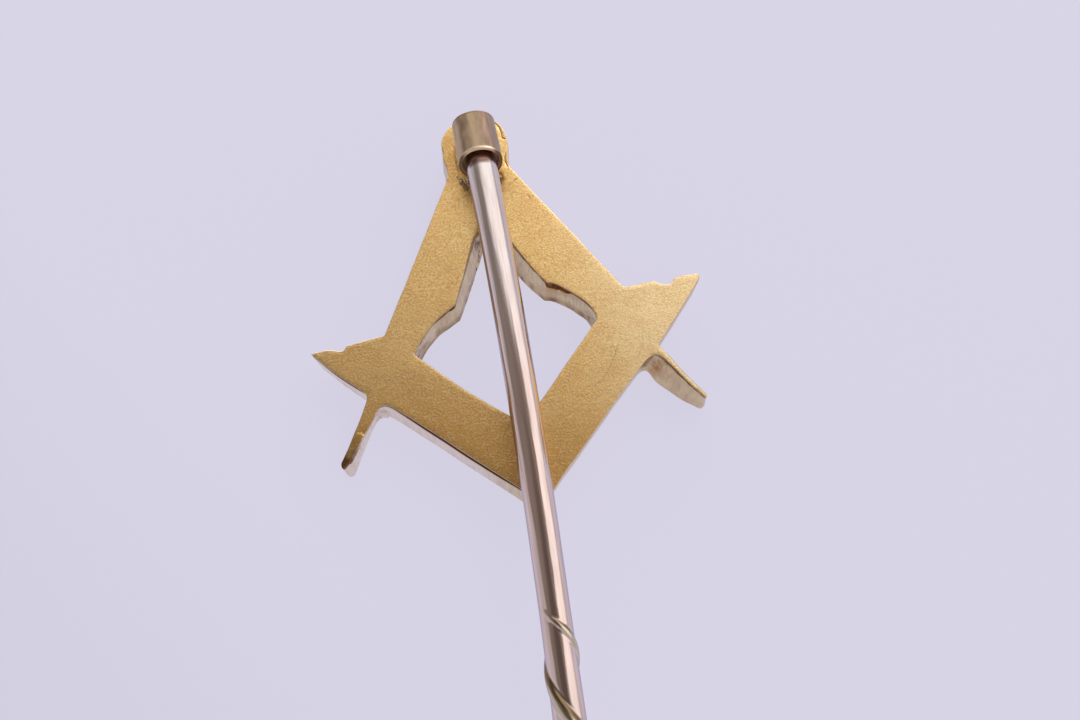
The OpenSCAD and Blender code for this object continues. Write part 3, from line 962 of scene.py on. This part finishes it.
def collar_shape():
    """The profile turned round the collar's axis. The wall is pressed a little out of round, and what would
    reach below the sheet is flat."""
    profile = along_path(COLLAR_PROFILE, PROFILE_STEP)
    turn = np.linspace(0, FULL_TURN, COLLAR_COLUMNS, endpoint=False)
    radius, reach = profile[:, :1], profile[:, 1:]
    spot = np.stack(np.broadcast_arrays(np.cos(turn), np.sin(turn), reach), -1)
    outer = swell(radius, bore_r, COLLAR_R)
    radius = radius + OUT_OF_ROUND * outer * (ripple(spot, 0.9, 41) - 1.0)
    reach = reach + MOUTH_WAVE * ripple(spot[..., :2], 1.2, 42) * (reach < 0.2)
    slant = END_RIGHT * np.cos(turn) + END_SIDES * np.cos(turn) ** 2
    reach = reach + slant * radius / COLLAR_R * swell(reach, COLLAR_LEN / 2, COLLAR_LEN)
    x = COLLAR_X + radius * np.cos(turn)
    z = np.maximum(COLLAR_Z + radius * np.sin(turn), 0.0)
    grid = np.stack([x, MOUTH_Y + reach, z], -1)
    number = np.arange(len(profile))[:, None]
    face_at = np.argmin(from_spot(profile, COLLAR_R - 0.3 * LIP, LIP_BACK + 0.3 * LIP))

    def beside_face(past, half_wide):
        """Nearness to a profile point, counted from the mouth's face."""
        return np.exp(-((number - face_at - past) * PROFILE_STEP / half_wide) ** 2)

    bore = 1 - swell(number, face_at - 2, face_at) + 0 * turn
    # Depth into the shown bore, for its painted gleam and the painted shade at its bottom
    depth = bore * swell(profile[:, 1:], LIP_BACK, BORE_SHOWN)
    # Painted highlight on the lip's upper side
    lip = beside_face(2, LIP_HIGHLIGHT) * swell(np.sin(turn), 0.35, 0.97)
    end = (number > face_at) * swell(profile[:, 1:], COLLAR_LEN - 0.14, COLLAR_LEN - 0.02) + 0 * turn
    # Painted shade on the rest of the mouth
    mouth_shade = beside_face(-1, LIP_SHADE) * (number > face_at - 7) * (1 - swell(np.sin(turn), 0.45, 0.95))
    # How far each point faces right, for the painted light and shade by side
    side = np.cos(turn) + 0 * number
    streak = np.zeros(side.shape)
    for degrees, wide, dark in COLLAR_STREAKS:
        waver = wide * 0.5 * ripple(np.stack([reach, reach + degrees], -1), 0.9, int(degrees))
        streak += dark * np.exp(-((np.degrees(turn) - degrees - waver) / wide) ** 2)
    streak = np.clip(streak, 0, 1)
    return grid, {
        "bore": bore, "depth": depth, "lip": lip, "mouth_shade": mouth_shade,
        "end": end, "side": side, "streak": streak,
    }


collar = skin("collar_tube", *collar_shape())


def tarnished_gold():
    """The collar's skin: brown tarnish, darker in streaks along the tube and at the closed end, painted olive
    and lighter to the left and darker and mauve to the right as light and shade, with a painted highlight on
    the upper lip, painted shade on the rest of the mouth, a painted gleam inside the bore and painted shade
    at its bottom."""
    material, tree, shader, place = new_finish("tarnished_gold", 0.42)
    side = attribute(tree, "side")
    streak = noise(tree, place, (2.6, 0.30, 2.6), 3.0, (0.4, 0, 0.2))
    fine = noise(tree, place, (9, 1.0, 9), 3.0)
    cloud = noise(tree, place, (1.8, 1.2, 1.8), 2.0, (2, 2, 2))
    base = coats(tree, (0.60, 0.445, 0.265), [
        # Painted light and shade by side: olive and lighter on the left, darker and mauve on the right
        (side, -0.15, 0.40, 1, (0.22, 0.155, 0.105)),
        (side, 0.65, 0.95, 0.8, (0.52, 0.41, 0.34)),
        ("streak", 0, 1, 0.9, (0.18, 0.11, 0.07)),
        (streak, 0.46, 0.60, 0.45, (0.30, 0.185, 0.12)),
        (fine, 0.48, 0.7, 0.45, (0.52, 0.38, 0.28)),
        (cloud, 0.48, 0.7, 0.45, (0.33, 0.21, 0.18)),
    ])
    base = tint(tree, attribute(tree, "end"), base, (0.22, 0.12, 0.10))
    # Painted highlight on the upper lip
    base = coats(tree, base, [("lip", 0.1, 0.8, 0.9, (0.95, 0.78, 0.60))])
    bore = attribute(tree, "bore")
    depth = attribute(tree, "depth")
    # The bore: painted lighter on the right, with a painted gleam part way in and painted shade at its bottom
    inner = coats(tree, (0.85, 0.66, 0.40), [(side, -0.6, 0.6, 1, (0.95, 0.62, 0.42))])
    gleam = product(tree, ramp(tree, depth, 0.10, 0.35, 0, 1), ramp(tree, depth, 0.75, 0.98, 1, 0))
    gleam = product(tree, gleam, ramp(tree, side, -0.25, 0.15, 0, 1))
    inner = tint(tree, gleam, inner, (0.95, 0.72, 0.47))
    inner = coats(tree, inner, [(depth, 0.80, 1.0, 0.8, (0.14, 0.07, 0.06))])
    base = tint(tree, bore, base, inner)
    # Painted shade on the rest of the mouth
    base = coats(tree, base, [("mouth_shade", 0.1, 0.7, 0.95, (0.14, 0.085, 0.04))])
    tree.links.new(ramp(tree, bore, 0.0, 0.6, 1, 0.1), shader.inputs["Metallic"])
    surface(tree, shader, base, fine, 0.36, 0.50, [(streak, 0.010), (fine, 0.004)])
    return material


collar.data.materials.append(tarnished_gold())
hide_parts("collar")
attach(collar, "root")

# Solder: the paler metal that ran in between collar and sheet. It fills the wedge
# along both sides and stands in rough lumps below the mouth, painted dark as shade where it lies low.
SOLDER_STEP = 0.02
SOLDER_SPAN = 0.78
SOLDER_FRONT = 11.86
SOLDER_SUNK = -0.05
# Where the wedge ends beside the tube's middle line, how much that wavers, and how
# much further it reaches at the mouth; the length of its meniscus and its roughness
SOLDER_REACH = 0.50
SOLDER_WAVER = 0.05
SOLDER_MOUTH = 0.06
MENISCUS = 0.03
SOLDER_ROUGH = 0.012
# Lumps and hollows by the mouth: x, y, radius, height
SOLDER_LUMPS = [
    (-0.74, 12.60, 0.040, 0.045), (-0.68, 12.50, 0.045, 0.060), (-0.62, 12.42, 0.050, 0.085),
    (-0.50, 12.40, 0.050, 0.110), (-0.42, 12.42, 0.040, 0.080), (-0.68, 12.38, 0.035, 0.050),
    (0.10, 12.10, 0.200, 0.080),
]


def solder_shape():
    """Height of the solder over the sheet: the wedge below the tube up to a wavering line, a meniscus
    beyond it, and lumps in front. Below zero it lies sunk in the sheet."""
    x = np.arange(COLLAR_X - SOLDER_SPAN - 0.2, COLLAR_X + SOLDER_SPAN + 0.2, SOLDER_STEP)
    y = np.arange(SOLDER_FRONT, MOUTH_Y + COLLAR_LEN + 0.1, SOLDER_STEP)
    x, y = np.meshgrid(x, y)
    spot = np.stack([x, y], -1)
    off = np.abs(x - COLLAR_X)
    reach = SOLDER_REACH + SOLDER_WAVER * ripple(spot[..., 1:], 0.5, 51)
    reach = np.clip(reach + SOLDER_MOUTH * np.exp(-((y - MOUTH_Y) / 0.25) ** 2), 0.2, 0.66)
    under = COLLAR_Z - np.sqrt(COLLAR_R ** 2 - np.minimum(off, reach) ** 2) + 0.01
    beyond = under * np.exp(-(off - reach) / MENISCUS) - 0.02 * swell(off, reach, reach + 0.1)
    height = np.where(off < reach, under, beyond)
    height = np.where((y > MOUTH_Y) & (y < MOUTH_Y + COLLAR_LEN), height, -0.03)
    for lump_x, lump_y, radius, tall in SOLDER_LUMPS:
        near = from_spot(spot, lump_x, lump_y) / radius
        height = np.maximum(height, tall * np.exp(-near ** 2) - 0.015)
    height += SOLDER_ROUGH * ripple(spot, 0.10, 52) * (height > -0.01)
    edge = np.minimum(np.minimum(x - x.min(), x.max() - x), np.minimum(y - y.min(), y.max() - y))
    height = np.where(edge < SOLDER_STEP / 2, SOLDER_SUNK, height)
    return np.stack([x, y, height], -1)


solder_top = solder_shape()
rows, columns = solder_top.shape[:2]
solder_base = solder_top.copy()
solder_base[..., 2] = 2 * SOLDER_SUNK
row, column = np.meshgrid(np.arange(rows - 1), np.arange(columns - 1), indexing="ij")
corner = (row * columns + column).ravel()
quad = np.stack([corner, corner + 1, corner + columns + 1, corner + columns], 1)
around = np.concatenate([
    np.arange(columns - 1), np.arange(rows - 1) * columns + columns - 1,
    rows * columns - 1 - np.arange(columns - 1), (rows - 1 - np.arange(rows - 1)) * columns,
])
ahead = np.roll(around, -1)
below = rows * columns
side = np.stack([around, around + below, ahead + below, ahead], 1)
solder = new_mesh(
    "solder",
    lay(np.vstack([solder_top.reshape(-1, 3), solder_base.reshape(-1, 3)])),
    [quad, quad[:, ::-1] + below, side],
    {"height": np.concatenate([solder_top[..., 2].ravel(), solder_base[..., 2].ravel()])},
    [0, 0, 0],
)


def rough_solder():
    """Solder: pale greenish yellow on its crests, brown-black in its pits, and painted shade where it lies
    low.
    """
    material, tree, shader, place = new_finish("rough_solder", 0.35)
    pits = noise(tree, place, 14, 3.0)
    base = coats(tree, (0.80, 0.70, 0.44), [(pits, 0.45, 0.68, 1, (0.26, 0.16, 0.07))])
    # Painted shade where the solder lies low
    low = ramp(tree, attribute(tree, "height"), 0.0, 0.03, 0.7, 0.0)
    base = tint(tree, low, base, (0.13, 0.075, 0.035))
    tree.links.new(base, shader.inputs["Base Color"])
    relief(tree, shader, [(pits, 0.02)])
    return material


solder.data.materials.append(rough_solder())
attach(solder, "root")

# Stem: one drawn wire of rose gold, let into the collar. It tapers and bends a
# little on its way to two soldered ridges, wound left-handed round it, that keep
# the pin from sliding out of the cloth. Below them it is ground to a point.
BEND_R = 278.0
UPPER_LEN = 15.3
STEM_TOP_R = 0.55
STEM_R = 0.42
TWIST_LEN = 10.0
TWIST_LEAD = 3.3
RIDGE_H = 0.07
RIDGE_HALF = 0.16
RIDGE_TOP_Y = -3.38
POINT_LEN = 9.0
TIP_R = 0.03
PIN_LENGTH = 62.0
# The wire's seat ends this short of the end of the bore
SEAT_GAP = 0.02
# The ridges rise over this span, counted from the end of the bend, and end within
# this length. Near its top the first is wound closer, and the second lags.
RIDGE_RISE = (-0.35, 1.7)
RIDGE_FADE = 0.5
FIRST_CLOSER = 0.2
FIRST_SPAN = 0.9
SECOND_LAG = 0.55
SECOND_SPAN = (-0.5, 2.6)
# Groove along both sides of a ridge, and the wire's slight unevenness
GROOVE = 0.012
GROOVE_HALF = 0.035
WIRE_WAVE = 0.003
# Heat stain and painted shade below the collar's mouth: span from the mouth, how much it wavers, how much
# shorter it is on top
SCORCH_AND_SHADE_SPAN = (-0.02, 0.16)
SCORCH_AND_SHADE_WAVER = 0.06
SCORCH_AND_SHADE_TOP = 0.30
pin_end_y = HINGE_Y + HINGE_R - PIN_LENGTH
lean = math.asin(UPPER_LEN / BEND_R)
stem_len = UPPER_LEN + (MOUTH_Y - UPPER_LEN - pin_end_y) / math.cos(lean)


def stem_shape():
    """Rings along the wire's centre line, which is a circle's arc and then straight. The radius is the
    taper, plus two round ridges whose angle falls by a full turn per lead, plus the point's cone."""
    seat = -(COLLAR_LEN - COLLAR_CAP) + SEAT_GAP
    twist_end = UPPER_LEN + TWIST_LEN
    stops = (seat, UPPER_LEN - 0.6, twist_end + 0.4, stem_len - 0.1)
    spans = zip(stops, stops[1:], (130, 230, 90))
    s = [np.linspace(low, high, count, endpoint=False) for low, high, count in spans]
    s.append(stem_len - 0.1 * np.cos(np.linspace(0, math.pi / 2, 6)))
    s = np.concatenate(s)[:, None]
    turn = np.linspace(FULL_TURN, 0, 96, endpoint=False)
    # Centre line
    bent = np.clip(s, 0, UPPER_LEN)
    straight = np.maximum(s - UPPER_LEN, 0)
    heading = np.arcsin(bent / BEND_R)
    x = COLLAR_X - bent ** 2 / (2 * BEND_R) - straight * math.sin(lean)
    y = MOUTH_Y - np.where(s < UPPER_LEN, s, UPPER_LEN + straight * math.cos(lean))
    # Taper and ground point
    radius = STEM_TOP_R + (STEM_R - STEM_TOP_R) * bent / UPPER_LEN
    to_tip = np.clip((stem_len - s) / POINT_LEN, 0, 1)
    radius = np.where(to_tip < 1, TIP_R + (STEM_R - TIP_R) * to_tip, radius)
    tip_round = np.clip((stem_len - s) / 0.06, 0, 1)
    radius = radius * np.sqrt(np.clip(1 - (1 - tip_round) ** 2, 1e-4, 1))
    # Ridges
    fade = swell(s, UPPER_LEN + RIDGE_RISE[0], UPPER_LEN + RIDGE_RISE[1]) ** 0.7
    fade = fade * (1 - swell(s, twist_end - RIDGE_FADE, twist_end))
    past = s - (MOUTH_Y - RIDGE_TOP_Y)
    first_wound = past * (1 + FIRST_CLOSER * np.exp(-(past / FIRST_SPAN) ** 2))
    second_wound = past - SECOND_LAG * swell(past, *SECOND_SPAN)
    ridge, dip, darkening = np.zeros((3, len(s), len(turn)))
    climb = math.cos(math.atan(FULL_TURN * STEM_R / TWIST_LEAD))
    half_wide = RIDGE_HALF * (0.3 + 0.7 * fade)
    for start, wound in ((0, first_wound), (math.pi, second_wound)):
        centre = math.pi / 2 + start - FULL_TURN * wound / TWIST_LEAD
        offset = ((turn - centre + math.pi) % FULL_TURN - math.pi) * STEM_R * climb
        away = np.abs(offset)
        ridge += np.where(away < half_wide, np.cos(np.minimum(away / half_wide, 1) * math.pi / 2) ** 0.9, 0)
        dip += np.exp(-((away - half_wide) / GROOVE_HALF) ** 2)
        # Painted shade along one flank of each ridge
        darkening += np.exp(-((offset + 0.65 * half_wide) / (0.5 * half_wide)) ** 2)
    spot = np.stack(np.broadcast_arrays(np.cos(turn), np.sin(turn), s / 4), -1)
    uneven = WIRE_WAVE * ripple(spot, 1.5, 61) * np.minimum(to_tip * POINT_LEN, 1)
    radius = radius + fade * (RIDGE_H * ridge - GROOVE * dip) + uneven
    across = radius * np.cos(turn)
    z = COLLAR_Z + radius * np.sin(turn)
    grid = np.stack([x + across * np.cos(heading), y + across * np.sin(heading), z], -1)
    # Heat stain and painted shade below the collar's mouth, shorter on top
    from_mouth = s + SCORCH_AND_SHADE_WAVER * ripple(spot, 0.5, 62) - SCORCH_AND_SHADE_TOP * np.maximum(np.sin(turn), 0)
    return grid, {
        "ridge": fade * ridge,
        "flank_shade": swell(fade, 0, 0.5) * np.clip(darkening, 0, 1),
        "down": np.broadcast_to(swell(s, 0, 12), ridge.shape),
        "scorch_and_shade": 1 - swell(from_mouth, *SCORCH_AND_SHADE_SPAN),
    }


stem = skin("stem_wire", *stem_shape())


def rose_gold():
    """The wire's polish: silvery near the collar, pinker below, greener gold on the ridges, painted shade
    along one flank of each, browned by heat and painted shade at the collar's mouth, and a painted reflection
    at its grazing edges."""
    material, tree, shader, place = new_finish("rose_gold", 0.16)
    drawn = noise(tree, place, (12, 0.35, 12), 3.0)
    cloud = noise(tree, place, (1.6, 0.25, 1.6), 2.0)
    base = tint(tree, attribute(tree, "down"), (0.78, 0.72, 0.70), (0.82, 0.66, 0.59))
    base = coats(tree, base, [
        (cloud, 0.4, 0.7, 0.5, (0.72, 0.55, 0.46)),
        (drawn, 0.42, 0.66, 0.45, (0.58, 0.46, 0.42)),
        ("ridge", 0.1, 0.5, 0.9, (0.64, 0.56, 0.42)),
        # Painted shade along one flank of each ridge, then heat stain and painted shade at the mouth
        ("flank_shade", 0.3, 0.8, 0.9, (0.20, 0.125, 0.05)),
        ("scorch_and_shade", 0.1, 0.9, 0.95, (0.21, 0.125, 0.095)),
    ])
    # Painted reflection at the grazing edges, darker further down
    facing = add_node(tree, "LayerWeight", "Facing", {})
    edge_reflection_tint = coats(tree, (0.76, 0.72, 0.72), [("down", 0.15, 0.45, 1, (0.54, 0.51, 0.58))])
    base = coats(tree, base, [(facing, 0.55, 0.80, 1, edge_reflection_tint)])
    shader.inputs["Specular Tint"].default_value = (0.75, 0.74, 0.80, 1.0)
    surface(tree, shader, base, drawn, 0.10, 0.17, [(drawn, 0.004)])
    return material


stem.data.materials.append(rose_gold())
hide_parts("stem")
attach(stem, "root")

# Stage: a pale lavender table that glows a little, as a light table does, under a
# white tent with one darker side, where the photographer stands.
FLOOR_SIZE = 0.5
TABLE_COLOUR = (0.80, 0.775, 0.93)
TABLE_SHADE = 0.12
TABLE_GLOW = 0.765
# The glow falls to this share against the heading, over this span in millimetres
TABLE_FAR = 0.90
TABLE_HEADING = (0.80, 0.60, 0)
TABLE_FALL = (-12, 4)
floor_mesh = bpy.data.meshes.new("table")
half = FLOOR_SIZE / 2
floor_corners = [(-half, -half, 0), (half, -half, 0), (half, half, 0), (-half, half, 0)]
floor_mesh.from_pydata(floor_corners, [], [(0, 1, 2, 3)])
table = bpy.data.objects.new("table", floor_mesh)
bpy.context.scene.collection.objects.link(table)


def along_heading(tree, place, heading):
    """How far a place lies along a heading: the dot product of the two."""
    return add_node(tree, "VectorMath", "Value", {0: place, 1: heading}, operation="DOT_PRODUCT")


def table_top():
    """Matt pale surface with a soft glow of its own that falls off towards one corner."""
    material, tree, shader, place = new_finish("table_top", 0.9, 0.0)
    ahead = along_heading(tree, place, TABLE_HEADING)
    far_corner = ramp(tree, ahead, TABLE_FALL[0] * MM, TABLE_FALL[1] * MM, 1, 0)
    for key, share in (("Emission Color", 1), ("Base Color", TABLE_SHADE)):
        near, far = (tuple(share * k * c for c in TABLE_COLOUR) for k in (1, TABLE_FAR))
        tree.links.new(tint(tree, far_corner, near, far), shader.inputs[key])
    shader.inputs["Emission Strength"].default_value = TABLE_GLOW
    shader.inputs["Specular IOR Level"].default_value = 0.1
    return material


floor_mesh.materials.append(table_top())

# Light: the tent itself, then patches of it by direction: direction, how wide in
# degrees, how soft, colour and strength.
TENT = (0.93, 0.90, 0.96)
TENT_STRENGTH = 0.60
TENT_PATCHES = [
    ((0.00, 0.97, 0.22), 28, 10, (2.20, 2.12, 2.12)),
    ((0.05, 0.99, 0.12), 22, 8, (4.40, 4.25, 4.20)),
    ((-0.05, 0.62, 0.78), 12, 4, (1.85, 1.78, 1.80)),
    ((0.40, 0.62, 0.67), 29, 6, (2.08, 2.03, 2.05)),
    ((0.75, 0.15, 0.64), 29, 8, (2.08, 2.01, 2.04)),
    ((-0.12, 0.78, 0.61), 10, 6, (1.05, 1.02, 1.03)),
    ((0.50, 0.84, 0.20), 11, 6, (7.00, 6.70, 6.50)),
    ((0.15, 0.18, 0.97), 17, 4, (0.46, 0.39, 0.36)),
    ((-0.25, 0.15, 0.955), 22.5, 4, (0.38, 0.32, 0.30)),
    ((-0.54, 0.12, 0.83), 24, 6, (0.36, 0.30, 0.28)),
    ((-0.15, -0.05, 0.985), 18, 8, (0.20, 0.16, 0.15)),
    ((-0.68, 0.45, 0.58), 20, 6, (0.42, 0.37, 0.35)),
    ((-0.20, -0.90, 0.35), 30, 10, (1.55, 1.45, 1.45)),
]


def light_tent():
    """World light by direction: each patch fades in towards its own direction."""
    world = bpy.data.worlds.new("light_tent")
    world.use_nodes = True
    tree = world.node_tree
    background = tree.nodes["Background"]
    direction = tree.nodes.new("ShaderNodeTexCoord").outputs["Generated"]
    colour = TENT
    for heading, wide, soft, patch in TENT_PATCHES:
        ahead = along_heading(tree, direction, Vector(heading).normalized())
        outer, inner = (math.cos(math.radians(angle)) for angle in (wide + soft, wide - soft))
        share = ramp(tree, ahead, outer, inner, 0, 1, "SMOOTHSTEP")
        colour = tint(tree, share, colour, patch)
    tree.links.new(colour, background.inputs["Color"])
    background.inputs["Strength"].default_value = TENT_STRENGTH
    bpy.context.scene.world = world


light_tent()
bpy.context.scene.view_settings.view_transform = "Standard"

# Camera: a close-up from above the stem, leaning back towards the hinge.
CAMERA_PLACE = (-0.555, -5.295, 20.029)
CAMERA_LEAN = math.radians(26.25)
CAMERA_TURN = math.radians(-3.54)
CAMERA_ROLL = math.radians(-10.43)
FOCAL_PIXELS = 700
FRAME_WIDTH = 1080
camera_data = bpy.data.cameras.new("camera")
camera_data.sensor_fit = "HORIZONTAL"
camera_data.lens = camera_data.sensor_width * FOCAL_PIXELS / FRAME_WIDTH
camera_data.clip_start = MM
camera_data.clip_end = 2
camera = bpy.data.objects.new("camera", camera_data)
bpy.context.scene.collection.objects.link(camera)
turn = (
    Matrix.Rotation(TILT + CAMERA_LEAN, 4, "X")
    @ Matrix.Rotation(CAMERA_TURN, 4, "Y")
    @ Matrix.Rotation(CAMERA_ROLL, 4, "Z")
)
camera.matrix_world = Matrix.Translation(Vector(lay(CAMERA_PLACE))) @ turn
bpy.context.scene.camera = camera
